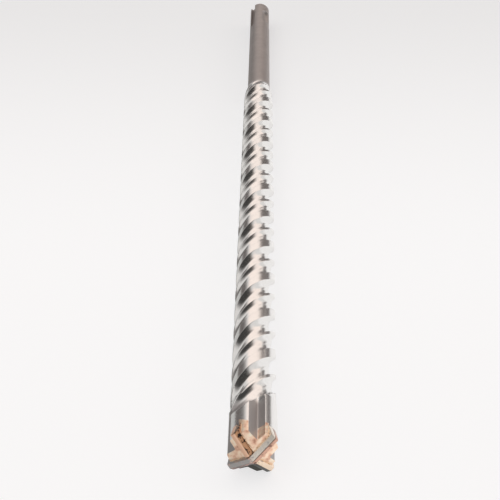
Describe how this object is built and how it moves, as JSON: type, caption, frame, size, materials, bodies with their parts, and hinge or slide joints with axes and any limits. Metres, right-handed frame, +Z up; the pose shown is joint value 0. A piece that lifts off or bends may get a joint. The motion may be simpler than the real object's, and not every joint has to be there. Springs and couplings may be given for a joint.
{
  "type": "sds max drill bit",
  "caption": "Long rotary-hammer drill bit: grooved 18 mm shank, right-hand fluted steel rod and a cross-shaped head with brazed carbide plates.",
  "frame": {"origin": "centre of the striker face, the flat end of the shank", "axes": "+Y along the bit's axis from the tip to the striker face, +Z up as the bit lies, +X to the right seen from the tip"},
  "size_m": [0.0238, 0.67, 0.0244],
  "materials": {
    "body_steel": "ground and polished flutes, blasted shank",
    "carbide": "ground sintered carbide",
    "braze": "flowed copper braze"
  },
  "bodies": {
    "root": {"drill_body": "body_steel", "main_cutting_plate": "carbide", "side_cutting_plate_left": "carbide", "side_cutting_plate_right": "carbide", "main_slot_braze": "braze", "side_slot_braze_left": "braze", "side_slot_braze_right": "braze"}
  },
  "joints": []
}
